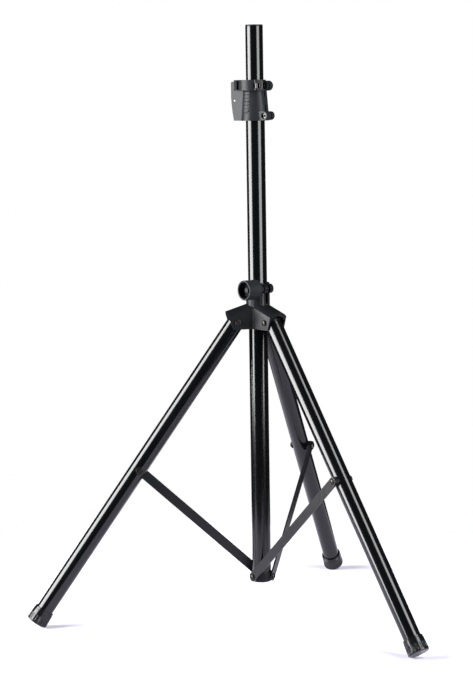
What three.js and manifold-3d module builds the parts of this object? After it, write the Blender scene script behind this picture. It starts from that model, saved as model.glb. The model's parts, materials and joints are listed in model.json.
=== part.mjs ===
// A folding tripod stand for a loudspeaker. Millimetres, +Z up.
// The origin is on the mast's axis at floor level, and +Y points along the rear leg.
import * as THREE from "three";
import { mergeVertices } from "three/addons/utils/BufferGeometryUtils.js";
import Module from "manifold-3d";

const wasm = await Module();
wasm.setup();

// Driving dimensions.
const GAP = 0.3; // running or assembly clearance between two pieces
const ROUND = 24; // sides of a tube
const SMALL_ROUND = 12; // sides of a bolt
const HEX = 6;
const ARC_STEPS = 8; // straight steps of a curved outline
const PAST = 1; // how far a cut runs past the faces it opens

const LOWER_TUBE_R = 19;
const LOWER_BORE_R = 17.8;
const UPPER_TUBE_R = 17.5;
const UPPER_BORE_R = 16;
const LEG_TUBE_R = 17.5;
const LEG_BORE_R = 16.3;

const LEG_AZIMUTHS = { rear: 90, left: 210, right: 330 };
const SPREAD = THREE.MathUtils.degToRad(35); // leg against the mast
const PIVOT_RADIUS = 45;
const PIVOT_Z = 610;
const BRACE_BOLT_DOWN = 359; // leg pivot to brace bolt, along the leg
const HUB_BOLT_Z = 85;

const HUB_BOTTOM_Z = 74;
const HUB_TOP_Z = 94;
const HUB_R = 21.5;
const HUB_FLOOR = 4;
const HUB_CHAMFER = 3;
const HUB_BOSS_R = 8.75;

const FOOT_R = 22;
const FOOT_RIM_R = 20.5;
const FOOT_LENGTH = 32;
const FOOT_EDGE = 3;
const FOOT_EDGE_STEPS = 3;
const FOOT_FLOOR = 4.7;
const FOOT_RIM = 5;

const BOLT_R = 3;
const PIVOT_BOLT_R = 3.5;
const KNOB_BOLT_R = 4;
const HEAD_R = 6.3;
const HEAD_H = 3.6;
const HEAD_EDGE = 0.8;
const HEAD_DOME = [
  [0.86, 0.62],
  [0.62, 0.88],
  [0.36, 1],
]; // shares of the head's radius and height
const KEY_R = 1.9; // hexagon socket in a button head
const KEY_DEPTH = 1.6;
const FLANGE_T = 1.2;
const NUT_FLANGE_R = 8;

const BRACE_WIDTH = 19;
const BRACE_T = 3;
const BRACE_IN = 21.8; // inner face of a brace, from the leg's middle plane
const BRACE_OUT = BRACE_IN + BRACE_T;
const SPACER_R = 9.5;
const WASHER_R = 9;
const WASHER_T = 1.3;

const COLLAR_AZIMUTH = 342.65; // the collar's slit side
const COLLAR_BOTTOM_Z = 1013;
const COLLAR_TOP_Z = 1094;
const COLLAR_TOP_R = 22.3;
const COLLAR_BOTTOM_R = 28.4;
const LOWER_TUBE_TOP_Z = 1056;

const MAST_TOP_Z = 1203;
const UPPER_TUBE_BOTTOM_Z = 150;

// Dimensions that follow from the ones above.
const FOOT_DOWN =
  FOOT_EDGE +
  (PIVOT_Z - FOOT_EDGE - (FOOT_R - FOOT_EDGE) * Math.sin(SPREAD)) / Math.cos(SPREAD);
const BRACE_BOLT_RADIUS = PIVOT_RADIUS + BRACE_BOLT_DOWN * Math.sin(SPREAD);
const BRACE_BOLT_Z = PIVOT_Z - BRACE_BOLT_DOWN * Math.cos(SPREAD);
const BRACE_LENGTH = Math.hypot(BRACE_BOLT_RADIUS, BRACE_BOLT_Z - HUB_BOLT_Z);
const BRACE_LEAN = Math.atan2(BRACE_BOLT_RADIUS, BRACE_BOLT_Z - HUB_BOLT_Z);

// Materials.
const finish = (color, roughness, metalness) =>
  new THREE.MeshStandardMaterial({ color, roughness, metalness });
const blackTube = finish(0x101013, 0.22, 0.4);
const greyMoulding = finish(0x2c2c2f, 0.45, 0.0);
const darkMoulding = finish(0x1c1c1e, 0.5, 0.0);
const steel = finish(0xb9b9bd, 0.3, 1.0);
const blackSteel = finish(0x202023, 0.35, 0.9);

// Solids and geometries.
function solid(geometry) {
  const bare = geometry.clone();
  bare.deleteAttribute("normal");
  bare.deleteAttribute("uv");
  const merged = mergeVertices(bare, 1e-4);
  return new wasm.Manifold(
    new wasm.Mesh({
      numProp: 3,
      vertProperties: merged.attributes.position.array,
      triVerts: new Uint32Array(merged.index.array),
    }),
  );
}

function geometryOf(made) {
  const mesh = made.getMesh();
  const positions = new THREE.BufferAttribute(new Float32Array(mesh.vertProperties), 3);
  const geometry = new THREE.BufferGeometry().setAttribute("position", positions);
  geometry.setIndex(new THREE.BufferAttribute(new Uint32Array(mesh.triVerts), 1));
  geometry.computeVertexNormals();
  return geometry;
}

const joined = (pieces) => pieces.reduce((all, piece) => all.add(piece));
const cutBy = (body, cuts) => cuts.reduce((rest, cut) => rest.subtract(cut), body);

// A solid of revolution about Z from [radius, height] pairs, listed upwards on the outside.
function turned(profile, sides = ROUND) {
  const points = profile.map(([radius, height]) => new THREE.Vector2(radius, height));
  return new THREE.LatheGeometry(points, sides).rotateX(Math.PI / 2);
}

function pipe(outer, inner, from, to) {
  return turned([
    [inner, from],
    [outer, from],
    [outer, to],
    [inner, to],
    [inner, from],
  ]);
}

// A round or hexagonal rod along Z.
function rod(radius, from, to, sides = SMALL_ROUND) {
  const rodGeometry = new THREE.CylinderGeometry(radius, radius, to - from, sides);
  return rodGeometry.rotateX(Math.PI / 2).translate(0, 0, (from + to) / 2);
}

// Turns what lies along +Z to lie along +Y.
const alongY = (geometry) => geometry.rotateX(-Math.PI / 2);

const crossRod = (radius, from, to, sides = SMALL_ROUND) => alongY(rod(radius, from, to, sides));

function block(x, y, z) {
  const size = [x, y, z].map(([low, high]) => high - low);
  const middle = [x, y, z].map(([low, high]) => (low + high) / 2);
  return new THREE.BoxGeometry(...size).translate(...middle);
}

// A plate of a shape drawn in X and Y, from one height to another.
function plate(shape, from, to) {
  const options = { depth: to - from, bevelEnabled: false, curveSegments: ARC_STEPS };
  return new THREE.ExtrudeGeometry(shape, options).translate(0, 0, from);
}

// A plate of a shape drawn in X and Z, between two places along Y.
function upright(shape, from, to) {
  return plate(shape, 0, to - from).rotateX(Math.PI / 2).translate(0, to, 0);
}

function outline(points) {
  return new THREE.Shape(points.map(([x, y]) => new THREE.Vector2(x, y)));
}

// Quarter round of a turned profile, from the axis side round to the outer side.
function quarterRound(centreR, centreZ, radius, steps) {
  return Array.from({ length: steps + 1 }, (_, i) => {
    const angle = (i / steps) * (Math.PI / 2);
    return [centreR + radius * Math.sin(angle), centreZ - radius * Math.cos(angle)];
  });
}

function circle(x, y, radius) {
  return new THREE.Path().absarc(x, y, radius, 0, 2 * Math.PI);
}

function piece(parent, name, geometry, material) {
  const mesh = new THREE.Mesh(geometry, material);
  mesh.name = name;
  parent.add(mesh);
}

function group(parent, [x, y, z], turnY = 0, turnZ = 0) {
  const made = new THREE.Group();
  made.position.set(x, y, z);
  made.rotation.set(0, turnY, turnZ);
  parent.add(made);
  return made;
}

const legTurn = (side) => THREE.MathUtils.degToRad(LEG_AZIMUTHS[side]);
const legNames = Object.keys(LEG_AZIMUTHS);

// The same cut or boss at all three legs.
const atEachLeg = (make) => legNames.map((side) => solid(make().rotateZ(legTurn(side))));

const stand = new THREE.Group();

// Mast: two tubes, the lower one in the hub.
function lowerTube() {
  const wall = solid(pipe(LOWER_TUBE_R, LOWER_BORE_R, HUB_BOTTOM_Z + HUB_FLOOR + GAP, LOWER_TUBE_TOP_Z));
  const holes = atEachLeg(() =>
    crossRod(BOLT_R + GAP, -HUB_R, -LOWER_BORE_R / 2).translate(0, 0, HUB_BOLT_Z),
  );
  return geometryOf(cutBy(wall, holes));
}

// Closed cup with a spigot: the lower tube stands in the groove between them.
const HUB_SPIGOT_R = LOWER_BORE_R - GAP;
const HUB_SPIGOT_DROP = 2;
const HUB_HOLE_DEPTH = 13;

function hub() {
  const floor = HUB_BOTTOM_Z + HUB_FLOOR;
  const cup = solid(
    turned([
      [0, HUB_BOTTOM_Z],
      [HUB_R - HUB_CHAMFER, HUB_BOTTOM_Z],
      [HUB_R, HUB_BOTTOM_Z + HUB_CHAMFER],
      [HUB_R, HUB_TOP_Z],
      [LOWER_TUBE_R + GAP, HUB_TOP_Z],
      [LOWER_TUBE_R + GAP, floor],
      [HUB_SPIGOT_R, floor],
      [HUB_SPIGOT_R, HUB_TOP_Z - HUB_SPIGOT_DROP],
      [0, HUB_TOP_Z - HUB_SPIGOT_DROP],
    ]),
  );
  const bosses = atEachLeg(() =>
    crossRod(HUB_BOSS_R, -HUB_R, -LOWER_TUBE_R - 2 * GAP, ROUND).translate(0, 0, HUB_BOLT_Z),
  );
  const holes = atEachLeg(() =>
    crossRod(BOLT_R + GAP, -HUB_R - PAST, HUB_HOLE_DEPTH - HUB_R).translate(0, 0, HUB_BOLT_Z),
  );
  return geometryOf(cutBy(joined([cup, ...bosses]), holes));
}

// Button-head bolt along -Y: the head's underside is at `face`, the shank ends at `end`.
function buttonBolt(face, end, shankR, washer) {
  const seat = face + washer;
  const head = turned(
    [
      [0, seat],
      [HEAD_R, seat],
      [HEAD_R, seat + HEAD_EDGE],
      ...HEAD_DOME.map(([radius, height]) => [radius * HEAD_R, seat + height * HEAD_H]),
      [0, seat + HEAD_H],
    ],
    SMALL_ROUND,
  ).rotateX(Math.PI / 2);
  const parts = [head, crossRod(shankR, -seat - HEAD_EDGE, end)];
  if (washer) parts.push(crossRod(WASHER_R, -seat - WASHER_T / 2, -face, ROUND));
  const socket = crossRod(KEY_R, -seat - HEAD_H - PAST, -seat - HEAD_H + KEY_DEPTH, HEX);
  return geometryOf(joined(parts.map(solid)).subtract(solid(socket)));
}

// Hexagon nut along +Y, on a round flange if it has one.
function hexNut(boreR, from, to, flange = 0) {
  const ring = [solid(crossRod(HEAD_R, from, to, HEX))];
  if (flange) ring.push(solid(crossRod(flange, from, from + FLANGE_T, ROUND)));
  return geometryOf(joined(ring).subtract(solid(crossRod(boreR, from - PAST, to + PAST))));
}

piece(stand, "lower_mast_tube", lowerTube(), blackTube);
piece(stand, "bottom_hub", hub(), greyMoulding);

// Upper tube with its two end fittings. It slides and turns in the lower tube.
const CAP_T = 3;
const CAP_EDGE = 1;
const CAP_DEPTH = 25;
const PLUG_T = 4;
const PLUG_DEPTH = 22;

function mastCap() {
  const under = MAST_TOP_Z - CAP_T;
  return turned([
    [0, under - CAP_DEPTH],
    [UPPER_BORE_R - GAP, under - CAP_DEPTH],
    [UPPER_BORE_R - GAP, under],
    [UPPER_TUBE_R, under],
    [UPPER_TUBE_R, MAST_TOP_Z - CAP_EDGE],
    [UPPER_TUBE_R - CAP_EDGE, MAST_TOP_Z],
    [0, MAST_TOP_Z],
  ]);
}

function mastPlug() {
  const top = UPPER_TUBE_BOTTOM_Z - GAP;
  return turned([
    [0, top - PLUG_T],
    [UPPER_TUBE_R, top - PLUG_T],
    [UPPER_TUBE_R, top],
    [UPPER_BORE_R - GAP, top],
    [UPPER_BORE_R - GAP, top + PLUG_DEPTH],
    [0, top + PLUG_DEPTH],
  ]);
}

const upperTube = pipe(
  UPPER_TUBE_R,
  UPPER_BORE_R,
  UPPER_TUBE_BOTTOM_Z,
  MAST_TOP_Z - CAP_T - GAP,
);
piece(stand, "upper_mast_tube", upperTube, blackTube);
piece(stand, "mast_top_cap", mastCap(), darkMoulding);
piece(stand, "mast_end_plug", mastPlug(), darkMoulding);

// Clamp collar on top of the lower tube, in a frame whose +X points out of its slit.
const collar = group(stand, [0, 0, 0], 0, THREE.MathUtils.degToRad(COLLAR_AZIMUTH));
const SLIT_HALF = 1.6;
const SLIT_REACH = 50; // from the mast's axis to beyond the ears
const UPPER_SLIT = 34; // down from the top
const LOWER_SLIT = 31; // up from the bottom
const SCREW_X = 33;
const SCREW_Z = COLLAR_BOTTOM_Z + 9.6;
const SCREW_BOSS_R = 8.7;
const SCREW_FRONT = -16;
const SCREW_BACK = 7.5;
const SCREW_HEAD_R = 5.5;
const SCREW_RECESS = 4; // face of the boss to the face of the screw's head
const SCREW_HEAD_T = 5;
const TENSION_X = 26.7;
const TENSION_Z = COLLAR_TOP_Z - 12;
const TENSION_BOSS_R = 10;
const TENSION_FRONT = -6;
const TENSION_BACK = 10;
const SEAT_R = 5.2; // pressure washer
const WEB_IN = 20; // where a boss's web starts in the sleeve's wall
const FIN_HALF = 10;
const FIN_TOP_DROP = 3;
const FIN_CORNER = 2;
const FIN_BACK = [
  [-53.1, 1060],
  [-51.5, 1042],
  [-49.9, 1030],
  [-46.8, COLLAR_BOTTOM_Z],
];
const FIN_PIN_X = -44;
const FIN_PIN_Z = COLLAR_TOP_Z - 41;
const FIN_PIN_R = 2.5;
const END_CAP_T = 3.5;
const END_CAP_EDGE = 1.5;
const CAP_ROOM = 6; // cleared in the sleeve's wall beside each end cap and the washer
const screwUnder = SCREW_FRONT + SCREW_RECESS + SCREW_HEAD_T; // underside of the screw's head

// A clamp ear: a round boss across the slit and the web that joins it to the sleeve.
function ear(x, z, radius, from, to) {
  return [
    solid(crossRod(radius, from, to, ROUND).translate(x, 0, z)),
    solid(block([WEB_IN, x], [from, to], [z - radius, z + radius])),
  ];
}

function sleeve() {
  const cone = solid(
    turned([
      [0, COLLAR_BOTTOM_Z],
      [COLLAR_BOTTOM_R, COLLAR_BOTTOM_Z],
      [COLLAR_TOP_R, COLLAR_TOP_Z],
      [0, COLLAR_TOP_Z],
    ]),
  );
  const finTop = COLLAR_TOP_Z - FIN_TOP_DROP;
  const fin = outline([
    [-WEB_IN, COLLAR_BOTTOM_Z],
    [-WEB_IN, finTop],
    [FIN_BACK[0][0] + FIN_CORNER, finTop],
    [FIN_BACK[0][0], finTop - FIN_CORNER],
    ...FIN_BACK,
  ]);
  const slit = (from, to) =>
    solid(block([0, SLIT_REACH], [-SLIT_HALF, SLIT_HALF], [from, to]));
  const across = (radius, from, to, x, z) =>
    solid(crossRod(radius, from, to, ROUND).translate(x, 0, z));
  const body = joined([
    cone,
    solid(upright(fin, -FIN_HALF, FIN_HALF)),
    ...ear(SCREW_X, SCREW_Z, SCREW_BOSS_R, SCREW_FRONT, SCREW_BACK),
    ...ear(TENSION_X, TENSION_Z, TENSION_BOSS_R, TENSION_FRONT, TENSION_BACK),
  ]);
  return geometryOf(
    cutBy(body, [
      solid(rod(LOWER_TUBE_R + GAP, COLLAR_BOTTOM_Z - PAST, COLLAR_TOP_Z + PAST, ROUND)),
      slit(COLLAR_TOP_Z - UPPER_SLIT, COLLAR_TOP_Z + PAST),
      slit(COLLAR_BOTTOM_Z - PAST, COLLAR_BOTTOM_Z + LOWER_SLIT),
      across(BOLT_R + GAP, SCREW_FRONT - PAST, SCREW_BACK + PAST, SCREW_X, SCREW_Z),
      across(SCREW_HEAD_R + GAP, SCREW_FRONT - PAST, screwUnder + GAP, SCREW_X, SCREW_Z),
      across(SCREW_BOSS_R + GAP, SCREW_BACK, SCREW_BACK + CAP_ROOM, SCREW_X, SCREW_Z),
      across(BOLT_R + GAP, TENSION_FRONT - PAST, TENSION_BACK + PAST, TENSION_X, TENSION_Z),
      across(TENSION_BOSS_R + GAP, TENSION_BACK, TENSION_BACK + CAP_ROOM, TENSION_X, TENSION_Z),
      across(SEAT_R + GAP, TENSION_FRONT - CAP_ROOM, TENSION_FRONT, TENSION_X, TENSION_Z),
      across(FIN_PIN_R + GAP, -FIN_HALF - PAST, FIN_HALF + PAST, FIN_PIN_X, FIN_PIN_Z),
    ]),
  );
}

// Split plastic bush that grips the upper tube.
function clampBush() {
  const ring = solid(
    pipe(LOWER_TUBE_R, UPPER_TUBE_R + GAP, LOWER_TUBE_TOP_Z + GAP, COLLAR_TOP_Z - GAP),
  );
  const slit = block([0, SLIT_REACH], [-SLIT_HALF, SLIT_HALF], [LOWER_TUBE_TOP_Z, COLLAR_TOP_Z]);
  return geometryOf(ring.subtract(solid(slit)));
}

// A socket screw along -Y whose head is sunk in its boss, with a hexagon socket in the head.
const SOCKET_R = 2.6;
const SOCKET_DEPTH = 3;

function socketScrew(front, under, end) {
  const body = joined([
    solid(crossRod(SCREW_HEAD_R, front, under, ROUND)),
    solid(crossRod(BOLT_R, under - PAST, end)),
  ]);
  const socket = crossRod(SOCKET_R, front - PAST, front + SOCKET_DEPTH, HEX);
  return geometryOf(body.subtract(solid(socket)));
}

// A round nut with a blind bore, closing the back of a boss.
function endCap(radius, from) {
  const to = from + END_CAP_T;
  return alongY(
    turned([
      [BOLT_R + GAP, from],
      [radius, from],
      [radius, to - END_CAP_EDGE],
      [radius - END_CAP_EDGE, to],
      [BOLT_R + GAP, to],
      [BOLT_R + GAP, from],
    ]),
  );
}

piece(collar, "clamp_sleeve", sleeve(), greyMoulding);
piece(collar, "clamp_bush", clampBush(), darkMoulding);
const screwPlace = group(collar, [SCREW_X, 0, SCREW_Z]);
const clampScrew = socketScrew(SCREW_FRONT + SCREW_RECESS, screwUnder, SCREW_BACK + END_CAP_T);
piece(screwPlace, "lower_clamp_screw", clampScrew, steel);
piece(screwPlace, "lower_clamp_nut", endCap(SCREW_BOSS_R, SCREW_BACK + GAP), darkMoulding);
const finPin = crossRod(FIN_PIN_R, -FIN_HALF - GAP, FIN_HALF + GAP);
piece(group(collar, [FIN_PIN_X, 0, FIN_PIN_Z]), "fin_pin", finPin, steel);

// Quick clamp on the collar: a lever on a vertical pin pulls the tension bolt.
const LEVER_H = 20.8;
const LEVER_IN_R = 26;
const LEVER_OUT_R = 33.5;
const LEVER_PIN_Y = -14;
const LEVER_END_PIN = [20.8, -21.9];
const KNUCKLE_R = 5;
const LEVER_TIP = [-38.2, -15.5];
const LEVER_TIP_R = 2.3;
const LEVER_BACK = THREE.MathUtils.degToRad(-120); // where the lever leaves the sleeve's curve
const LEVER_FRONT = THREE.MathUtils.degToRad(-62.5);
const LEVER_ROOT = THREE.MathUtils.degToRad(-44);
const WINDOW_FROM = 2.5; // along the tail, from the end of its curve
const WINDOW_TO = 12.8;
const WINDOW_BAR = 1.8; // left above and below the window
const FORK_HALF = 5.1;
const EYE_R = 4.7;
const EYE_HALF = 4.2;

// Plan of the lever: a band round the sleeve, a straight tail and two pin knuckles.
function leverPlan() {
  const plan = new THREE.Shape();
  plan.absarc(LEVER_TIP[0], LEVER_TIP[1], LEVER_TIP_R, Math.PI / 2, 1.5 * Math.PI);
  plan.absarc(0, 0, LEVER_OUT_R, LEVER_BACK, LEVER_FRONT);
  plan.absarc(...LEVER_END_PIN, KNUCKLE_R, -0.6 * Math.PI, -0.2 * Math.PI);
  plan.absarc(TENSION_X, LEVER_PIN_Y, KNUCKLE_R, -0.2 * Math.PI, Math.PI);
  plan.absarc(0, 0, LEVER_IN_R, LEVER_ROOT, LEVER_BACK, true);
  plan.closePath();
  return plan;
}

// Window through the tail, with its sides square to the tail.
function leverWindow(low) {
  const start = [LEVER_OUT_R * Math.cos(LEVER_BACK), LEVER_OUT_R * Math.sin(LEVER_BACK)];
  const tail = Math.atan2(LEVER_TIP[1] - LEVER_TIP_R - start[1], LEVER_TIP[0] - start[0]);
  const zRange = [low + WINDOW_BAR, COLLAR_TOP_Z - WINDOW_BAR];
  const opening = block([WINDOW_FROM, WINDOW_TO], [-LEVER_OUT_R / 2, LEVER_OUT_R / 4], zRange);
  return opening.rotateZ(tail).translate(...start, 0);
}

function lever() {
  const low = COLLAR_TOP_Z - LEVER_H;
  const body = solid(plate(leverPlan(), low, COLLAR_TOP_Z));
  const pinHole = (x, y) =>
    solid(rod(BOLT_R + GAP, low - PAST, COLLAR_TOP_Z + PAST).translate(x, y, 0));
  const forkGap = block(
    [LEVER_END_PIN[0] - KNUCKLE_R, TENSION_X + 2 * KNUCKLE_R],
    [LEVER_END_PIN[1] - 2 * KNUCKLE_R, LEVER_PIN_Y + 2 * KNUCKLE_R],
    [TENSION_Z - FORK_HALF, TENSION_Z + FORK_HALF],
  );
  return geometryOf(
    cutBy(body, [
      pinHole(TENSION_X, LEVER_PIN_Y),
      pinHole(...LEVER_END_PIN),
      solid(forkGap),
      solid(leverWindow(low)),
    ]),
  );
}

// Eye bolt: the eye sits on the lever's pivot pin and the shank crosses the slit.
function tensionBolt() {
  const eye = solid(rod(EYE_R, -EYE_HALF, EYE_HALF).translate(0, LEVER_PIN_Y, 0));
  const shank = solid(crossRod(BOLT_R, LEVER_PIN_Y, TENSION_BACK + END_CAP_T));
  const hole = rod(BOLT_R + GAP, -EYE_HALF - PAST, EYE_HALF + PAST).translate(0, LEVER_PIN_Y, 0);
  return geometryOf(eye.add(shank).subtract(solid(hole)));
}

// Pressure washer between the lever's knuckle and the front ear, hollowed for the knuckle.
function pressureWasher() {
  const disc = solid(crossRod(SEAT_R, LEVER_PIN_Y + BOLT_R, TENSION_FRONT - GAP, ROUND));
  return geometryOf(
    cutBy(disc, [
      solid(crossRod(BOLT_R + GAP, LEVER_PIN_Y, 0)),
      solid(rod(KNUCKLE_R + GAP, -LEVER_H, LEVER_H, ROUND).translate(0, LEVER_PIN_Y, 0)),
    ]),
  );
}

const leverPin = () => rod(BOLT_R, -LEVER_H / 2 + GAP, LEVER_H / 2 - GAP);
const leverMiddle = COLLAR_TOP_Z - LEVER_H / 2;
const tensionPlace = group(collar, [TENSION_X, 0, TENSION_Z]);
piece(tensionPlace, "tension_bolt", tensionBolt(), blackSteel);
piece(tensionPlace, "pressure_washer", pressureWasher(), blackSteel);
piece(tensionPlace, "tension_nut", endCap(TENSION_BOSS_R, TENSION_BACK + GAP), darkMoulding);
const pivotPinPlace = group(collar, [TENSION_X, LEVER_PIN_Y, leverMiddle]);
piece(pivotPinPlace, "lever_pivot_pin", leverPin(), steel);
piece(collar, "cam_lever", lever(), greyMoulding);
piece(group(collar, [...LEVER_END_PIN, leverMiddle]), "lever_end_pin", leverPin(), steel);

// Crown: a barrel that slides on the lower tube, with three arms that hold the legs.
const crownPlace = group(stand, [0, 0, PIVOT_Z]);
const ARM_HALF = 21.5;
const CHEEK_T = 3.6;
const ARCH_T = 8.5; // at the top of the arch
const ARM_RISE = 10; // of the arched top over the cheeks
const RIDGE_SLOPE = THREE.MathUtils.degToRad(18.2);
const RIDGE_Z = 43.2; // at the mast's axis
const CROWN_BOTTOM = -14.3;
const ARM_END_LOW = 54.6;
const ARM_END_HIGH = 75.2;
const ARM_PRISM_TOP = 50;
const ARM_REACH = 90;
const BARREL_R = 26.3;
const NECK_R = 24;
const NECK_FOOT = 27;
const NECK_START = 30;
const NECK_TOP = 78;
const CLAMP_X = 28;
const CLAMP_Z = 67.3;
const CLAMP_BOSS_R = 9.5;
const CLAMP_FRONT = -12;
const CLAMP_BACK = 10.5;
const CLAMP_EAR_HALF = 8.2;
const CLAMP_EAR_FOOT = 30;
const CLAMP_SLIT_HALF = 2.6;
const CLAMP_SLIT_FOOT = 37;
const CLAMP_SLIT_REACH = 60; // from the mast's axis to beyond the boss
const CLAMP_NUT_SEAT = 5.5;
const CLAMP_NUT_R = 6.3;

// A tunnel of arched section along +X whose ridge falls outwards from the mast's axis.
function tunnel(halfWidth, archR, ridgeZ) {
  const sweep = Math.asin(halfWidth / archR);
  const section = new THREE.Shape();
  section.moveTo(-halfWidth, -2 * ARM_REACH);
  section.lineTo(halfWidth, -2 * ARM_REACH);
  section.absarc(0, -archR, archR, Math.PI / 2 - sweep, Math.PI / 2 + sweep);
  section.closePath();
  const axes = new THREE.Matrix4().makeBasis(
    new THREE.Vector3(0, 1, 0),
    new THREE.Vector3(0, 0, 1),
    new THREE.Vector3(1, 0, 0),
  );
  const straight = plate(section, 0, ARM_REACH).applyMatrix4(axes);
  return straight.rotateY(RIDGE_SLOPE).translate(0, 0, ridgeZ);
}

function crown() {
  const archR = (ARM_HALF ** 2 + ARM_RISE ** 2) / (2 * ARM_RISE);
  const side = outline([
    [0, CROWN_BOTTOM],
    [ARM_END_LOW, CROWN_BOTTOM],
    [ARM_END_HIGH, ARM_PRISM_TOP],
    [0, ARM_PRISM_TOP],
  ]);
  const arms = legNames.map((name) => {
    const vault = solid(tunnel(ARM_HALF, archR, RIDGE_Z).rotateZ(legTurn(name)));
    const ends = upright(side, -ARM_HALF - PAST, ARM_HALF + PAST).rotateZ(legTurn(name));
    return vault.intersect(solid(ends));
  });
  const hollows = atEachLeg(() => tunnel(ARM_HALF - CHEEK_T, archR - ARCH_T, RIDGE_Z - ARCH_T));
  const barrel = solid(
    turned([
      [0, CROWN_BOTTOM],
      [BARREL_R, CROWN_BOTTOM],
      [BARREL_R, NECK_FOOT],
      [NECK_R, NECK_START],
      [NECK_R, NECK_TOP],
      [0, NECK_TOP],
    ]),
  );
  const atClamp = (geometry) => solid(geometry.rotateZ(legTurn("right")));
  const clampEars = [
    crossRod(CLAMP_BOSS_R, CLAMP_FRONT, CLAMP_BACK, ROUND).translate(CLAMP_X, 0, CLAMP_Z),
    block([0, CLAMP_X], [-CLAMP_EAR_HALF, CLAMP_EAR_HALF], [CLAMP_EAR_FOOT, CLAMP_Z]),
  ].map(atClamp);
  const body = joined([cutBy(joined(arms), hollows), barrel, ...clampEars]);
  const bore = solid(rod(LOWER_TUBE_R + GAP, CROWN_BOTTOM - PAST, NECK_TOP + PAST, ROUND));
  const pivots = atEachLeg(() =>
    crossRod(PIVOT_BOLT_R + GAP, -ARM_HALF - PAST, ARM_HALF + PAST).translate(PIVOT_RADIUS, 0, 0),
  );
  const slitWidth = [-CLAMP_SLIT_HALF, CLAMP_SLIT_HALF];
  const throughBoss = [CLAMP_FRONT - PAST, CLAMP_BACK + PAST];
  const clampCuts = [
    block([0, CLAMP_SLIT_REACH], slitWidth, [CLAMP_SLIT_FOOT, NECK_TOP + PAST]),
    crossRod(KNOB_BOLT_R + GAP, ...throughBoss).translate(CLAMP_X, 0, CLAMP_Z),
    crossRod(CLAMP_NUT_R + GAP, CLAMP_NUT_SEAT, CLAMP_BACK + PAST, HEX).translate(CLAMP_X, 0, CLAMP_Z),
  ].map(atClamp);
  return geometryOf(cutBy(body, [bore, ...pivots, ...clampCuts]));
}

piece(crownPlace, "crown", crown(), greyMoulding);

// Clamp knob: an open cup on the screw that closes the crown's neck.
const clampPlace = group(crownPlace, [0, 0, 0], 0, legTurn("right"));
const knobPlace = group(clampPlace, [CLAMP_X, 0, CLAMP_Z]);
const KNOB_R = 20;
const KNOB_STEM_R = 7.2;
const KNOB_STEM = 12.5;
const KNOB_BACK = 25;
const KNOB_ROUND = 8;
const KNOB_ROUND_STEPS = 5;
const KNOB_END = 59.5;
const KNOB_WALL = 3.5;
const KNOB_FLOOR = 45;
const KNOB_LIP = 1.2;
const KNOB_HUB_R = 5.4;
const KNOB_HUB_END = 53;
const KNOB_SCREW_OUT = 50;

function knob() {
  const bore = KNOB_BOLT_R + GAP;
  const corner = quarterRound(
    KNOB_R - KNOB_ROUND,
    KNOB_BACK + KNOB_ROUND,
    KNOB_ROUND,
    KNOB_ROUND_STEPS,
  );
  const cup = turned([
    [bore, KNOB_STEM],
    [KNOB_STEM_R, KNOB_STEM],
    [KNOB_STEM_R + PAST, KNOB_BACK - PAST],
    ...corner,
    [KNOB_R, KNOB_END - KNOB_LIP],
    [KNOB_R - KNOB_LIP, KNOB_END],
    [KNOB_R - KNOB_WALL, KNOB_END],
    [KNOB_R - KNOB_WALL, KNOB_FLOOR],
    [KNOB_HUB_R, KNOB_FLOOR],
    [KNOB_HUB_R, KNOB_HUB_END],
    [0, KNOB_HUB_END],
    [0, KNOB_SCREW_OUT + GAP],
    [bore, KNOB_SCREW_OUT + GAP],
    [bore, KNOB_STEM],
  ]);
  return cup.rotateX(Math.PI / 2);
}

piece(knobPlace, "crown_knob", knob(), greyMoulding);
const knobScrew = crossRod(KNOB_BOLT_R, -KNOB_SCREW_OUT, CLAMP_BACK);
piece(knobPlace, "crown_knob_screw", knobScrew, steel);
const clampNut = solid(crossRod(CLAMP_NUT_R, CLAMP_NUT_SEAT + GAP, CLAMP_BACK - GAP, HEX));
const clampNutBore = solid(crossRod(KNOB_BOLT_R + GAP, 0, 2 * CLAMP_BACK));
piece(knobPlace, "crown_clamp_nut", geometryOf(clampNut.subtract(clampNutBore)), blackSteel);

// Legs and braces.
const PLUG_TOP_DOWN = 5; // leg pivot to the tube's top edge
const PLUG_LENGTH = 30;
const DOME_R = 17.3;
const DOME_RINGS = 10;

function legTube() {
  const wall = solid(pipe(LEG_TUBE_R, LEG_BORE_R, FOOT_FLOOR + GAP - FOOT_DOWN, -PLUG_TOP_DOWN));
  const hole = crossRod(BOLT_R + GAP, -LEG_TUBE_R - PAST, LEG_TUBE_R + PAST);
  return geometryOf(wall.subtract(solid(hole.translate(0, 0, -BRACE_BOLT_DOWN))));
}

// Domed head that turns in the crown, on a spigot in the leg tube.
function legHead() {
  const under = GAP - PLUG_TOP_DOWN;
  const body = solid(
    turned([
      [0, under - PLUG_LENGTH],
      [LEG_BORE_R - GAP, under - PLUG_LENGTH],
      [LEG_BORE_R - GAP, under],
      [LEG_TUBE_R, under],
      [LEG_TUBE_R, DOME_R + PAST],
      [0, DOME_R + PAST],
    ]),
  );
  const dome = solid(new THREE.SphereGeometry(DOME_R, ROUND, DOME_RINGS).rotateX(Math.PI / 2));
  const wide = [-LEG_TUBE_R - PAST, LEG_TUBE_R + PAST];
  const below = solid(block(wide, wide, [-2 * PLUG_LENGTH, 0]));
  const hole = solid(crossRod(PIVOT_BOLT_R + GAP, ...wide));
  return geometryOf(body.intersect(dome.add(below)).subtract(hole));
}

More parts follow.
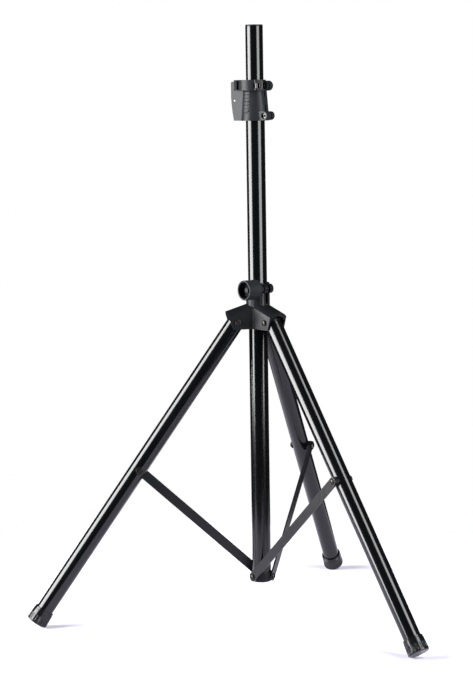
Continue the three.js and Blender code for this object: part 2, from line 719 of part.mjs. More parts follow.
function footCap() {
  const end = -FOOT_DOWN;
  const top = end + FOOT_LENGTH;
  const edge = quarterRound(FOOT_R - FOOT_EDGE, end + FOOT_EDGE, FOOT_EDGE, FOOT_EDGE_STEPS);
  return turned([
    [0, end],
    ...edge,
    [FOOT_RIM_R + GAP, top - FOOT_RIM],
    [FOOT_RIM_R, top],
    [LEG_TUBE_R + GAP, top],
    [LEG_TUBE_R + GAP, end + FOOT_FLOOR],
    [0, end + FOOT_FLOOR],
  ]);
}

// Spacer with a saddle for the leg tube; it stops short of the brace.
function spacer() {
  const disc = solid(crossRod(SPACER_R, GAP - BRACE_IN, -LEG_TUBE_R / 2, ROUND));
  return geometryOf(
    cutBy(disc, [
      solid(rod(LEG_TUBE_R + GAP, -2 * SPACER_R, 2 * SPACER_R, ROUND)),
      solid(crossRod(BOLT_R + GAP, -BRACE_IN, 0)),
    ]),
  );
}

function braceBar() {
  const half = BRACE_WIDTH / 2;
  const bar = new THREE.Shape();
  bar.absarc(0, 0, half, -Math.PI, 0);
  bar.absarc(0, BRACE_LENGTH, half, 0, Math.PI);
  bar.closePath();
  bar.holes.push(circle(0, 0, BOLT_R + GAP), circle(0, BRACE_LENGTH, BOLT_R + GAP));
  return upright(bar, -BRACE_OUT, -BRACE_IN);
}

const NUT_IN = LEG_TUBE_R + GAP;
const NUT_T = 4.2;
const STUD_PAST_NUT = 1.5;
const PIVOT_NUT_T = 2.8;

for (const side of legNames) {
  const leg = group(stand, [0, 0, 0], 0, legTurn(side));
  const pivot = group(leg, [PIVOT_RADIUS, 0, PIVOT_Z]);
  const boltEnd = ARM_HALF + GAP + PIVOT_NUT_T;
  piece(pivot, `leg_pivot_bolt_${side}`, buttonBolt(ARM_HALF + GAP, boltEnd, PIVOT_BOLT_R, 0), blackSteel);
  const pivotNut = hexNut(PIVOT_BOLT_R + GAP, ARM_HALF + GAP, boltEnd);
  piece(pivot, `leg_pivot_nut_${side}`, pivotNut, blackSteel);

  const tilted = group(pivot, [0, 0, 0], -SPREAD);
  piece(tilted, `leg_tube_${side}`, legTube(), blackTube);
  piece(tilted, `leg_head_${side}`, legHead(), darkMoulding);
  piece(tilted, `foot_cap_${side}`, footCap(), darkMoulding);
  const boltPlace = group(tilted, [0, 0, -BRACE_BOLT_DOWN]);
  piece(boltPlace, `brace_spacer_${side}`, spacer(), darkMoulding);
  const stud = crossRod(BOLT_R, GAP - BRACE_IN, NUT_IN + NUT_T + STUD_PAST_NUT);
  piece(boltPlace, `brace_stud_${side}`, stud, blackSteel);
  const braceNut = hexNut(BOLT_R + GAP, NUT_IN, NUT_IN + NUT_T, NUT_FLANGE_R);
  piece(boltPlace, `brace_nut_${side}`, braceNut, blackSteel);

  const hubPivot = group(leg, [0, 0, HUB_BOLT_Z]);
  const hubBolt = buttonBolt(BRACE_OUT + GAP, HUB_HOLE_DEPTH - HUB_R - GAP, BOLT_R, 0);
  piece(hubPivot, `hub_bolt_${side}`, hubBolt, blackSteel);
  const brace = group(hubPivot, [0, 0, 0], BRACE_LEAN);
  piece(brace, `brace_bar_${side}`, braceBar(), blackSteel);
  const headPlace = group(brace, [0, 0, BRACE_LENGTH]);
  const braceHead = buttonBolt(BRACE_OUT + GAP, -GAP - BRACE_IN, BOLT_R, WASHER_T);
  piece(headPlace, `brace_bolt_head_${side}`, braceHead, blackSteel);
}

export default stand;
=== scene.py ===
"""Looks of a folding loudspeaker stand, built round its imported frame. Metres, +Z up, +Y to the rear leg."""

import json
import math

import bmesh
import bpy
import numpy as np
from mathutils import Matrix, Vector


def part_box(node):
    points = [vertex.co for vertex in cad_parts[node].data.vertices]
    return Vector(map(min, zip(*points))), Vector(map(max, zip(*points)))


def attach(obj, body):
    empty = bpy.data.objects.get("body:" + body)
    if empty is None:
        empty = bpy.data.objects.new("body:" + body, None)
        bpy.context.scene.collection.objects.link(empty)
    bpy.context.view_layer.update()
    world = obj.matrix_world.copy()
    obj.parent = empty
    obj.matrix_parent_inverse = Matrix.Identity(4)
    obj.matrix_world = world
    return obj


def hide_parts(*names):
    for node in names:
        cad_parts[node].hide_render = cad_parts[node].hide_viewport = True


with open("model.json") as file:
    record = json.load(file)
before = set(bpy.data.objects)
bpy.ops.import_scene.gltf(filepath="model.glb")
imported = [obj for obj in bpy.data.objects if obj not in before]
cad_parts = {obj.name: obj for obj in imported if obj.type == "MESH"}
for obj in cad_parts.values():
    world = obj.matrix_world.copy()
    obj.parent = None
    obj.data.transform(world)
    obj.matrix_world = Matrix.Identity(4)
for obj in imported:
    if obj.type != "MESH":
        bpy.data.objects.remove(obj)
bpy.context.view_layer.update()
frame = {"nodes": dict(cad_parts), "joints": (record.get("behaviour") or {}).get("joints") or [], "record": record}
nodes = frame["nodes"]
body_of = {node: body for body, members in frame["record"]["behaviour"]["bodies"].items() for node in members}
joints = {joint["name"]: joint for joint in frame["joints"]}

MM = 0.001
SIDES = ("rear", "left", "right")
ROUND_STEPS = 96
MERGE = 2e-6  # points nearer than this are one point
SMOOTH_TURN = math.radians(40)  # faces that turn more than this meet in a sharp edge
FLAT_TURN = math.radians(0.5)  # faces that turn less than this are one flat face


# ---------------------------------------------------------------- places taken from the frame

def middle(node):
    low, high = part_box(node)
    return (low + high) / 2


def top(node):
    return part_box(node)[1].z


def bottom(node):
    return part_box(node)[0].z


def turn_to(direction, across):
    """Rotation whose Z is the direction and whose X is as near to `across` as it can be."""
    z = Vector(direction).normalized()
    y = z.cross(Vector(across)).normalized()
    x = y.cross(z)
    return Matrix((x, y, z)).transposed().to_4x4()


def place(origin, direction, across=(1, 0, 0)):
    return Matrix.Translation(origin) @ turn_to(direction, across)


# A leg's axis runs from its pivot through the middle of its tube, which is a straight round piece.
leg_pivot = {side: Vector(joints[f"leg_hinge_{side}"]["pos_m"]) for side in SIDES}
leg_axis = {side: (middle(f"leg_tube_{side}") - leg_pivot[side]).normalized() for side in SIDES}
leg_out = {side: Vector((leg_pivot[side].x, leg_pivot[side].y, 0)).normalized() for side in SIDES}


# ---------------------------------------------------------------- surfaces

def rounded(points, radius, steps=5, closed=False):
    """Outline with each inner corner replaced by an arc of the radius.

    At a corner the arc starts and ends radius * tan(turn / 2) along the two sides, or less where a side
    is short. Points between them follow the quadratic curve that the corner pulls, which is close to the
    arc for the small turns used here.
    """
    p = np.asarray(points, float)
    ahead = np.roll(p, -1, 0) - p
    behind = np.roll(p, 1, 0) - p
    la = np.linalg.norm(ahead, axis=1)
    lb = np.linalg.norm(behind, axis=1)
    ua = ahead / np.maximum(la, 1e-12)[:, None]
    ub = behind / np.maximum(lb, 1e-12)[:, None]
    turn = math.pi - np.arccos(np.clip((ua * ub).sum(1), -1, 1))
    reach = np.minimum(np.asarray(radius) * np.tan(turn / 2), 0.45 * np.minimum(la, lb))
    if not closed:
        reach[[0, -1]] = 0
    t = np.linspace(0, 1, steps)[None, :, None]
    start = (p + ub * reach[:, None])[:, None]
    end = (p + ua * reach[:, None])[:, None]
    curve = (1 - t) ** 2 * start + 2 * t * (1 - t) * p[:, None] + t**2 * end
    if closed:
        curve = curve.reshape(-1, 2)
        return np.vstack([curve, curve[:1]])
    return np.vstack([p[:1], curve[1:-1].reshape(-1, 2), p[-1:]])


def mesh_piece(name, verts, faces, body):
    """New piece from an array of points and a list of faces."""
    mesh = bpy.data.meshes.new(name)
    mesh.from_pydata(verts.tolist(), [], faces)
    return finish_piece(name, mesh, body)


def finish_piece(name, mesh, body, join_flats=False):
    """Piece that rides on a body, with doubles merged and shading smooth up to the sharp edges.

    Flat faces are joined if asked. If not, the faces are turned outwards.
    """
    shape = bmesh.new()
    shape.from_mesh(mesh)
    bmesh.ops.remove_doubles(shape, verts=shape.verts, dist=MERGE)
    if join_flats:
        bmesh.ops.dissolve_limit(shape, angle_limit=FLAT_TURN, verts=shape.verts, edges=shape.edges)
    else:
        bmesh.ops.recalc_face_normals(shape, faces=shape.faces)
    shape.to_mesh(mesh)
    shape.free()
    mesh.shade_smooth()
    mesh.set_sharp_from_angle(angle=SMOOTH_TURN)
    piece = bpy.data.objects.new(name, mesh)
    bpy.context.scene.collection.objects.link(piece)
    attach(piece, body)
    return piece


def grid_faces(rows, columns, wrap):
    """Quads of a grid of points, row by row; the last column joins the first when it wraps."""
    last = columns if wrap else columns - 1
    r, c = np.meshgrid(np.arange(rows - 1), np.arange(last), indexing="ij")
    n = (c + 1) % columns
    quads = np.stack([r * columns + c, r * columns + n, (r + 1) * columns + n, (r + 1) * columns + c], -1)
    return quads.reshape(-1, 4).tolist()


def filled(outline, step, edge=0.8 * MM):
    """Outline with more points along it: at every step, and an edge's width either side of each corner."""
    length = np.r_[0, np.cumsum(np.linalg.norm(np.diff(outline, axis=0), axis=1))]
    rows = np.r_[length, length + edge, length - edge, np.arange(0, length[-1], step)]
    rows = np.unique(np.clip(rows, 0, length[-1]))
    return np.stack([np.interp(rows, length, outline[:, k]) for k in (0, 1)], -1)


def revolved(name, profile, where, node, steps=ROUND_STEPS, dent=None, step=12 * MM):
    """Surface of revolution that stands for a node.

    The point at angle a on the profile's station (r, z) is (r cos a, r sin a, z), where r is first made
    smaller by dent(a, r, z) if one is given. The whole is then carried to its place by the matrix.
    """
    profile = filled(profile, step)
    a = np.linspace(0, 2 * math.pi, steps, endpoint=False)[None, :]
    r, z = (profile[:, k, None] for k in (0, 1))
    radius = r + 0 * a
    if dent:
        radius = radius - dent(a, r, z)
    points = np.stack([radius * np.cos(a), radius * np.sin(a), z + 0 * a], -1).reshape(-1, 3)
    turned = points @ np.array(where.to_3x3()).T + np.array(where.translation)
    piece = mesh_piece(f"{node}_{name}", turned, grid_faces(len(profile), steps, True), body_of[node])
    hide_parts(node)
    return piece


def softened(node, width, segments=2, corner=35):
    """The node's own shape with its flat faces joined and every corner over the angle rounded."""
    piece = finish_piece(f"{node}_soft", nodes[node].data.copy(), body_of[node], join_flats=True)
    bevel = piece.modifiers.new("edges", "BEVEL")
    bevel.width = width
    bevel.segments = segments
    bevel.limit_method = "ANGLE"
    bevel.angle_limit = math.radians(corner)
    bevel.harden_normals = True
    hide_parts(node)
    return piece


# ---------------------------------------------------------------- finishes

class Value:
    """A number that changes over the surface. Operators on it add Math nodes."""

    def __init__(self, finish, socket):
        self.finish = finish
        self.socket = socket

    def math(self, operation, first, second):
        return self.finish.node("ShaderNodeMath", {"operation": operation}, {0: first, 1: second})

    def __add__(self, other):
        return self.math("ADD", self, other)

    def __sub__(self, other):
        return self.math("SUBTRACT", self, other)

    def __rsub__(self, other):
        return self.math("SUBTRACT", other, self)

    def __mul__(self, other):
        return self.math("MULTIPLY", self, other)

    __radd__ = __add__
    __rmul__ = __mul__


class Finish:
    """A material whose nodes are added by calls and expressions."""

    def __init__(self, name):
        self.material = bpy.data.materials.new(name)
        self.material.use_nodes = True
        self.tree = self.material.node_tree
        self.tree.nodes.clear()
        self.place = self.node("ShaderNodeTexCoord", output="Object")

    def node(self, kind, settings=None, values=None, output=0):
        """Adds a node of a type, sets its settings, then gives its sockets their values or links."""
        made = self.tree.nodes.new(kind)
        for key, value in (settings or {}).items():
            if key == "stops":
                ramp = made.color_ramp
                ramp.elements[0].position, ramp.elements[-1].position = value[0][0], value[-1][0]
                for position, _ in value[1:-1]:
                    ramp.elements.new(position)
                for element, (_, grey) in zip(ramp.elements, value):
                    element.color = (grey, grey, grey, 1)
            else:
                setattr(made, key, value)
        for key, value in (values or {}).items():
            if isinstance(value, Value):
                self.tree.links.new(value.socket, made.inputs[key])
            else:
                made.inputs[key].default_value = value
        return Value(self, made.outputs[output] if made.outputs else None)

    def scaled(self, x, y, z):
        return self.node("ShaderNodeMapping", {}, {"Vector": self.place, "Scale": (x, y, z)})

    def noise(self, scale, detail=2.0, roughness=0.5, vector=None):
        values = {"Vector": vector or self.place, "Scale": scale, "Detail": detail, "Roughness": roughness}
        return self.node("ShaderNodeTexNoise", {}, values)

    def ramp(self, value, *stops):
        return self.node("ShaderNodeValToRGB", {"stops": stops}, {"Fac": value})

    def mix(self, amount, first, second):
        settings = {"data_type": "RGBA"}
        return self.node("ShaderNodeMix", settings, {0: amount, 6: first, 7: second}, output=2)

    def bump(self, height, distance, strength=1.0):
        values = {"Height": height, "Distance": distance, "Strength": strength}
        return self.node("ShaderNodeBump", {}, values)

    def surface(self, **sockets):
        """Principled surface; the sockets are named in plain words joined by underscores."""
        values = {name.replace("_", " ").title().replace("Ior", "IOR"): v for name, v in sockets.items()}
        shader = self.node("ShaderNodeBsdfPrincipled", {}, values)
        self.node("ShaderNodeOutputMaterial", {}, {"Surface": shader})
        return self.material


def grey(level, tint=0.0):
    """Neutral colour with a touch of blue."""
    return (level * (1 - tint), level * (1 - tint / 2), level * (1 + tint), 1.0)


def gloss_enamel():
    """Black stove enamel: deep gloss with faint orange peel, wiped smudges and a few specks of dust."""
    f = Finish("gloss_black_enamel")
    smudge = f.ramp(f.noise(9.0, 3.0), (0.45, 0.0), (0.75, 1.0))
    dust = f.ramp(f.noise(900.0, 1.0), (0.74, 0.0), (0.80, 1.0))
    wiped = f.ramp(f.noise(30.0, 4.0, vector=f.scaled(1, 1, 0.15)), (0.4, 0.0), (0.8, 1.0))
    colour = f.mix(dust * 0.3 + smudge * 0.2, grey(0.0014, 0.2), grey(0.005, 0.12))
    return f.surface(
        base_color=colour,
        roughness=0.14 + smudge * 0.02 + wiped * 0.02,
        ior=1.4,
        normal=f.bump(f.noise(90.0, 1.0), 0.000002),
    )


def moulded(name, light, roughness, ior, tint=0.12):
    """Fine spark-textured glass-filled moulding: speckled colour, matt pits and shinier rubbed patches."""
    f = Finish(name)
    pits = f.noise(1900.0, 2.0, 0.7)
    cloud = f.noise(22.0, 3.0)
    rubbed = f.ramp(f.noise(38.0, 4.0), (0.52, 0.0), (0.78, 1.0))
    tone = f.ramp(cloud * 0.7 + pits * 0.3, (0.35, 0.0), (0.65, 1.0))
    colour = f.mix(tone, grey(light * 0.8, tint), grey(light * 1.2, tint))
    return f.surface(
        base_color=colour,
        ior=ior,
        roughness=roughness + pits * 0.1 - rubbed * 0.06,
        normal=f.bump(pits + cloud * 0.4, 0.00004, 0.6),
    )


def foot_plastic():
    """Shiny black foot: polished where the mould was, with scuffs and grime towards the tread."""
    f = Finish("foot_moulding")
    scuff = f.ramp(f.noise(160.0, 5.0, 0.6), (0.56, 0.0), (0.68, 1.0))
    height = f.node("ShaderNodeSeparateXYZ", {}, {"Vector": f.place}, output=2)
    low = f.ramp(height * 20.0, (0.1, 1.0), (0.9, 0.0))
    worn = scuff * low
    return f.surface(
        base_color=f.mix(worn * 0.5, grey(0.003, 0.1), grey(0.02)),
        ior=1.35,
        roughness=0.13 + f.noise(70.0, 3.0) * 0.06 + worn * 0.3,
        normal=f.bump(f.noise(900.0, 2.0), 0.00002),
    )


def satin_black_steel():
    """Black enamel on flat bar: satin, with streaks along the rolling direction and rubbed spots."""
    f = Finish("satin_black_steel")
    streak = f.noise(140.0, 3.0, vector=f.scaled(1, 1, 0.2))
    rubbed = f.ramp(f.noise(55.0, 5.0), (0.62, 0.0), (0.74, 1.0))
    return f.surface(
        base_color=f.mix(rubbed * 0.3, grey(0.006, 0.1), grey(0.02)),
        ior=1.3,
        roughness=0.24 + streak * 0.12,
        normal=f.bump(f.noise(600.0, 2.0), 0.00002),
    )


def metal(name, light, roughness, warm=0.0):
    """Plated or blacked steel: turned marks, cloudy plating and darker specks."""
    f = Finish(name)
    marks = f.noise(800.0, 3.0, vector=f.scaled(1, 1, 6))
    cloud = f.noise(120.0, 3.0)
    spots = f.ramp(f.noise(700.0, 2.0), (0.66, 0.0), (0.72, 1.0))
    bright = (light * (1 + warm), light, light * (1 - 2 * warm), 1.0)
    dull = (0.6 * light * (1 + warm), 0.6 * light, 0.55 * light * (1 - 2 * warm), 1.0)
    return f.surface(
        base_color=f.mix(cloud * 0.6 + spots * 0.3, bright, dull),
        metallic=1.0,
        roughness=roughness + marks * 0.15,
        normal=f.bump(marks, 0.00002),
    )


enamel = gloss_enamel()
grey_moulding = moulded("grey_moulding", 0.0117, 0.3, 1.2)
dark_moulding = moulded("dark_moulding", 0.003, 0.3, 1.28)
crown_moulding = moulded("crown_moulding", 0.006, 0.3, 1.2)
foot_moulding = foot_plastic()
black_steel = satin_black_steel()
blacked_steel = metal("blacked_bolt_steel", 0.035, 0.26, warm=0.04)
steel = metal("plated_steel", 0.09, 0.36)


def wear(piece, material):
    """Gives the piece its material."""
    piece.data.materials.clear()
    piece.data.materials.append(material)


# ---------------------------------------------------------------- round pieces

UP = (0, 0, 1)
ORIGIN = Vector((0, 0, 0))


def pipe_profile(outer, inner, low, high, lip=0.4 * MM):
    """Closed section of a tube wall with rounded lips."""
    return rounded([(inner, low), (outer, low), (outer, high), (inner, high)], lip, 4, closed=True)


def half_width(node):
    low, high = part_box(node)
    return (high.x - low.x) / 2


TUBE_WALL = 1.2 * MM
lower_r = half_width("lower_mast_tube")
upper_r = half_width("upper_mast_tube")
leg_r = half_width("leg_tube_rear")

mast_place = place(ORIGIN, UP)
for node, radius in (("lower_mast_tube", lower_r), ("upper_mast_tube", upper_r)):
    section = pipe_profile(radius, radius - TUBE_WALL, bottom(node), top(node))
    wear(revolved("round", section, mast_place, node), enamel)

CAP_STEP = 3 * MM  # the cap's flange, over the plug that goes into the tube
CAP_INSET = 1.8 * MM
cap_top = top("mast_top_cap")
cap_section = rounded(
    [
        (0, bottom("mast_top_cap")),
        (upper_r - CAP_INSET, bottom("mast_top_cap")),
        (upper_r - CAP_INSET, cap_top - CAP_STEP),
        (upper_r, cap_top - CAP_STEP),
        (upper_r, cap_top),
        (0, cap_top),
    ],
    1.2 * MM,
)
wear(revolved("round", cap_section, mast_place, "mast_top_cap"), dark_moulding)

# Legs: tube and fluted foot, along an axis that starts at the middle of the tread and points at the pivot.
FOOT_LENGTH = 32 * MM
FOOT_R = 22 * MM
FOOT_RIM_R = 20.5 * MM
FOOT_RIM = 5 * MM
FOOT_EDGE = 3 * MM
FOOT_FLOOR = 4.7 * MM
FOOT_SKIN = 0.2 * MM  # the round foot stays this far inside its faceted solid
FOOT_CORNER = 1.2 * FOOT_EDGE
FLUTES = 18
FLUTE_WIDTH = 4.4 * MM
FLUTE_FOOT = 3.5 * MM
FLUTE_TOP = 17 * MM
FLUTE_DEPTH = 1.1 * MM
FLUTE_EASE = 0.9 * MM
FOOT_STEP = 0.4 * MM  # the step under the foot's rim, and its height
FOOT_STEP_RISE = 0.6 * MM
CLEAR = 0.3 * MM
HEAD_DROP = 5 * MM  # leg pivot down to the tube's top edge


def flute(a, r, z):
    """Depth of the flutes, which are slots with round ends in the outer wall.

    The distance to a slot's border is half its width less the distance to the slot's middle line, and
    the depth follows it by the smooth step 3 t^2 - 2 t^3 over an ease's width. Only the outer wall is
    cut: the depth fades to nothing between 0.96 and 0.9 of the foot's radius.
    """
    pitch = 2 * math.pi / FLUTES
    across = (np.mod(a + pitch / 2, pitch) - pitch / 2) * FOOT_R
    past_top = np.maximum(z - (FLUTE_TOP - FLUTE_WIDTH / 2), 0)
    past_foot = np.maximum(FLUTE_FOOT + FLUTE_WIDTH / 2 - z, 0)
    inside = FLUTE_WIDTH / 2 - np.hypot(across, past_top + past_foot)
    depth = np.clip(inside / FLUTE_EASE, 0, 1)
    outer_wall = np.clip((r - 0.9 * FOOT_R) / (0.06 * FOOT_R), 0, 1)
    return FLUTE_DEPTH * depth**2 * (3 - 2 * depth) * outer_wall


def foot_section():
    """Foot's half section, from the middle of the tread round to the middle of the socket's floor."""
    return rounded(
        [
            (0, 0),
            (FOOT_R - FOOT_SKIN, 0),
            (FOOT_RIM_R + FOOT_STEP, FOOT_LENGTH - FOOT_RIM),
            (FOOT_RIM_R - FOOT_SKIN, FOOT_LENGTH - FOOT_RIM + FOOT_STEP_RISE),
            (FOOT_RIM_R - FOOT_SKIN, FOOT_LENGTH),
            (leg_r + CLEAR, FOOT_LENGTH),
            (leg_r + CLEAR, FOOT_FLOOR),
            (0, FOOT_FLOOR),
        ],
        [0, FOOT_CORNER, 0.3 * MM, 0.3 * MM, 0.6 * MM, 0.6 * MM, 0.5 * MM, 0],
        7,
    )


def leg_place(side):
    """Place at the middle of the tread, with Z up the leg, and its distance from the leg's pivot.

    The tread's lowest edge touches the floor.
    """
    down = -leg_axis[side].z
    out = math.sqrt(1 - down**2)
    length = FOOT_EDGE + (leg_pivot[side].z - FOOT_EDGE - (FOOT_R - FOOT_EDGE) * out) / down
    return place(leg_pivot[side] + leg_axis[side] * length, -leg_axis[side], leg_out[side]), length


for side in SIDES:
    stance, leg_length = leg_place(side)
    section = pipe_profile(leg_r, leg_r - TUBE_WALL, FOOT_FLOOR + CLEAR, leg_length - HEAD_DROP)
    wear(revolved("round", section, stance, f"leg_tube_{side}"), enamel)
    cap = revolved("fluted", foot_section(), stance, f"foot_cap_{side}", 360, flute, MM)
    wear(cap, foot_moulding)

# Crown knob: an open cup with a boss round its screw, along the screw's axis out of the crown.
KNOB_R = 20 * MM
KNOB_WALL = 3.5 * MM
KNOB_STEM = 12.5 * MM
KNOB_STEM_R = 7.2 * MM
KNOB_BACK = 25 * MM
KNOB_FLOOR = 45 * MM
KNOB_END = 59.5 * MM
KNOB_HUB_R = 5.4 * MM
KNOB_HUB_END = 53 * MM
KNOB_BORE = 4.3 * MM
KNOB_BORE_END = 50.3 * MM
RIB_R = 11 * MM
RIB = 1.2 * MM

knob_turn = joints["crown_knob_turn"]
knob_place = place(Vector(knob_turn["pos_m"]), knob_turn["axis"], UP)
knob_section = rounded(
    [
        (0, KNOB_BORE_END),
        (KNOB_BORE, KNOB_BORE_END),
        (KNOB_BORE, KNOB_STEM),
        (KNOB_STEM_R, KNOB_STEM),
        (KNOB_STEM_R + MM, KNOB_BACK),
        (KNOB_R, KNOB_BACK),
        (KNOB_R, KNOB_END),
        (KNOB_R - KNOB_WALL, KNOB_END),
        (KNOB_R - KNOB_WALL, KNOB_FLOOR),
        (RIB_R + RIB, KNOB_FLOOR),
        (RIB_R + RIB, KNOB_FLOOR + RIB),
        (RIB_R, KNOB_FLOOR + RIB),
        (RIB_R, KNOB_FLOOR),
        (KNOB_HUB_R, KNOB_FLOOR),
        (KNOB_HUB_R, KNOB_HUB_END),
        (0, KNOB_HUB_END),
    ],
    np.array([0, 0.3, 0.3, 0.8, 2, 8, 1.4, 1.4, 2.5, 0.4, 0.4, 0.4, 0.4, 1, 1, 0]) * MM,
    7,
)
wear(revolved("cup", knob_section, knob_place, "crown_knob"), grey_moulding)

# ---------------------------------------------------------------- moulded and machined pieces

for node, edge in (("clamp_sleeve", 0.9), ("cam_lever", 1.1)):
    wear(softened(node, edge * MM, 3), grey_moulding)
for node, edge in (("crown", 0.9), ("bottom_hub", 0.7)):
    wear(softened(node, edge * MM, 3), crown_moulding)
for node in ("lower_clamp_nut", "tension_nut", "mast_end_plug", "clamp_bush"):
    wear(softened(node, 0.5 * MM), dark_moulding)
for side in SIDES:
    for node in ("leg_head", "brace_spacer"):
        wear(softened(f"{node}_{side}", 0.5 * MM), dark_moulding)
    wear(softened(f"brace_bar_{side}", 0.5 * MM), black_steel)
    for node in ("leg_pivot_nut", "brace_stud", "brace_nut"):
        wear(softened(f"{node}_{side}", 0.5 * MM), blacked_steel)
    for node in ("leg_pivot_bolt", "brace_bolt_head", "hub_bolt"):
        wear(softened(f"{node}_{side}", 0.3 * MM), blacked_steel)
for node in ("pressure_washer", "tension_bolt", "crown_clamp_nut"):
    wear(softened(node, 0.4 * MM), blacked_steel)
for node in ("lower_clamp_screw", "fin_pin", "lever_pivot_pin", "lever_end_pin", "crown_knob_screw"):
    wear(softened(node, 0.4 * MM), steel)

# Finger grips moulded on the collar, one on each side of it.
GRIP_TURN = math.radians(97)  # middle of a grip, from the slit
GRIP_HALF = math.radians(25)
GRIP_END_HALF = math.radians(19)
GRIP_TOP = 22 * MM  # down from the collar's top
GRIP_FOOT = 14 * MM  # up from the collar's bottom
GRIP_PITCH = 7 * MM
GRIP_PROUD = 0.5 * MM
GRIP_RIDGE = 0.75 * MM
GRIP_EDGE = 0.9 * MM
GRIP_ROWS = 130
GRIP_COLUMNS = 61
GRIP_MARGIN = 1.12  # the grid reaches this many half widths, past the border
GRIP_ROUNDING = 0.8  # power of the sine, which broadens the ridges
COLLAR_TOP_R = 22.3 * MM
COLLAR_BOTTOM_R = 28.4 * MM
COLLAR_TURN = math.radians(-17.35)  # the slit, from +X


def finger_grip(side):
    """Ridged panel on the collar's cone.

    At turn a and height z the surface is at the cone's radius plus h. Here h is how far the panel stands
    proud plus ridge * (the absolute sine of pi times the depth under the head / pitch, to a power). It
    falls by the smooth step 3 t^2 - 2 t^3 to half an edge under the cone within an edge's width of the
    border. The border is straight at the sides, a half circle at the foot and cut square at the head.
    """
    low, high = bottom("clamp_sleeve"), top("clamp_sleeve")
    foot, head = low + GRIP_FOOT, high - GRIP_TOP
    z = np.linspace(foot - 2 * GRIP_EDGE, head, GRIP_ROWS)[:, None]
    a = np.linspace(-GRIP_MARGIN, GRIP_MARGIN, GRIP_COLUMNS)[None, :] * GRIP_HALF
    cone = np.interp(z, [low, high], [COLLAR_BOTTOM_R, COLLAR_TOP_R])
    share = np.clip((z - foot) / (head - foot), 0, 1)
    half = cone * (GRIP_END_HALF + (GRIP_HALF - GRIP_END_HALF) * share)
    drop = np.maximum(foot + half - z, 0)
    inside = half - np.hypot(a * cone, drop)
    rise = np.clip(inside / GRIP_EDGE, 0, 1)
    rise = rise**2 * (3 - 2 * rise)
    ridge = np.abs(np.sin(math.pi * (head - z) / GRIP_PITCH)) ** GRIP_ROUNDING
    front = cone + rise * (GRIP_PROUD + GRIP_EDGE / 2 + GRIP_RIDGE * ridge) - GRIP_EDGE / 2
    back = cone - 2 * GRIP_EDGE + 0 * a
    radius = np.concatenate([front, back[:, ::-1]], 1)
    turn = np.concatenate([a, a[:, ::-1]], 1) + side * GRIP_TURN + COLLAR_TURN + 0 * z
    points = np.stack([radius * np.cos(turn), radius * np.sin(turn), z + 0 * radius], -1)
    rows, columns = radius.shape
    ends = [list(range(columns)), list(range((rows - 1) * columns, rows * columns))]
    faces = grid_faces(rows, columns, True) + ends
    name = "collar_grip_left" if side < 0 else "collar_grip_right"
    return mesh_piece(name, points.reshape(-1, 3), faces, body_of["clamp_sleeve"])


for side in (-1, 1):
    wear(finger_grip(side), grey_moulding)

# ---------------------------------------------------------------- floor, light and camera

VIEW_TURN = math.radians(20.45)  # the camera stands this far round from -Y
CAMERA_BACK = 4.3496
CAMERA_HEIGHT = 1.0761
CAMERA_PITCH = math.radians(6.88)
CAMERA_YAW = math.radians(-0.59)
CAMERA_ROLL = -0.0156
CAMERA_LENS = 111.2
FLOOR_HALF = 0.9


def view_turned(x, y, z):
    return Matrix.Rotation(VIEW_TURN, 3, "Z") @ Vector((x, y, z))


def add_camera():
    level = math.cos(CAMERA_PITCH)
    ahead = view_turned(math.sin(CAMERA_YAW) * level, math.cos(CAMERA_YAW) * level, -math.sin(CAMERA_PITCH))
    right = ahead.cross(Vector(UP)).normalized()
    above = right.cross(ahead)
    tilted_right = right * math.cos(CAMERA_ROLL) + above * math.sin(CAMERA_ROLL)
    tilted_up = above * math.cos(CAMERA_ROLL) - right * math.sin(CAMERA_ROLL)
    data = bpy.data.cameras.new("camera")
    data.lens = CAMERA_LENS
    data.clip_end = 50
    camera = bpy.data.objects.new("camera", data)
    stand_point = view_turned(0, -CAMERA_BACK, CAMERA_HEIGHT)
    turn = Matrix((tilted_right, tilted_up, -ahead)).transposed().to_4x4()
    camera.matrix_world = Matrix.Translation(stand_point) @ turn
    bpy.context.scene.collection.objects.link(camera)
    bpy.context.scene.camera = camera


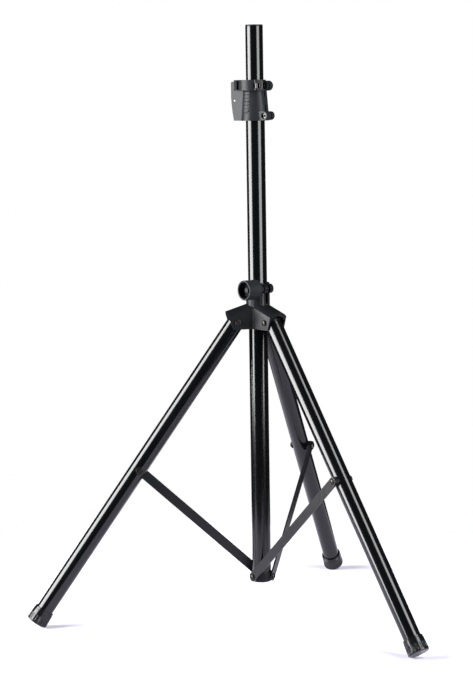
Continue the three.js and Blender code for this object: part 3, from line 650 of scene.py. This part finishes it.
def softbox(name, azimuth, distance, width, height, low, watts):
    """Upright area light; the azimuth is measured from the camera's side, positive to its right."""
    angle = math.radians(azimuth)
    where = view_turned(math.sin(angle) * distance, -math.cos(angle) * distance, low + height / 2)
    data = bpy.data.lights.new(name, "AREA")
    data.shape = "RECTANGLE"
    data.size = width
    data.size_y = height
    data.energy = watts
    light = bpy.data.objects.new(name, data)
    aim = Vector((-where.x, -where.y, 0)).to_track_quat("-Z", "Y").to_matrix().to_4x4()
    light.matrix_world = Matrix.Translation(where) @ aim
    bpy.context.scene.collection.objects.link(light)


def add_floor():
    """Pale floor under the stand, seen as bright as the backdrop; its faint violet tints the undersides."""
    mesh = bpy.data.meshes.new("floor")
    corners = [(x * FLOOR_HALF, y * FLOOR_HALF, 0) for x, y in ((-1, -1), (1, -1), (1, 1), (-1, 1))]
    mesh.from_pydata(corners, [], [(0, 1, 2, 3)])
    floor = bpy.data.objects.new("floor", mesh)
    bpy.context.scene.collection.objects.link(floor)
    f = Finish("pale_floor")
    mottle = f.noise(3.0, 3.0)
    colour = f.mix(mottle, (0.71, 0.69, 0.82, 1.0), (0.75, 0.73, 0.86, 1.0))
    mesh.materials.append(f.surface(base_color=colour, roughness=0.9 + mottle * 0.05))


def add_world(seen, felt):
    """White backdrop: `seen` is its brightness to the camera, `felt` the light it gives the stand."""
    world = bpy.data.worlds.new("studio")
    world.use_nodes = True
    tree = world.node_tree
    tree.nodes.clear()
    path = tree.nodes.new("ShaderNodeLightPath")
    blend = tree.nodes.new("ShaderNodeMixShader")
    out = tree.nodes.new("ShaderNodeOutputWorld")
    tree.links.new(path.outputs["Is Camera Ray"], blend.inputs[0])
    for socket, strength in ((1, felt), (2, seen)):
        sky = tree.nodes.new("ShaderNodeBackground")
        sky.inputs["Color"].default_value = (1, 1, 1, 1)
        sky.inputs["Strength"].default_value = strength
        tree.links.new(sky.outputs[0], blend.inputs[socket])
    tree.links.new(blend.outputs[0], out.inputs["Surface"])
    bpy.context.scene.world = world


bpy.context.scene.view_settings.view_transform = "Standard"
add_camera()
add_floor()
add_world(1.0, 0.045)
softbox("left_softbox", -77.5, 2.6, 1.95, 2.5, 0.05, 360)
softbox("right_softbox", 50, 2.6, 1.5, 4.2, 0.05, 260)
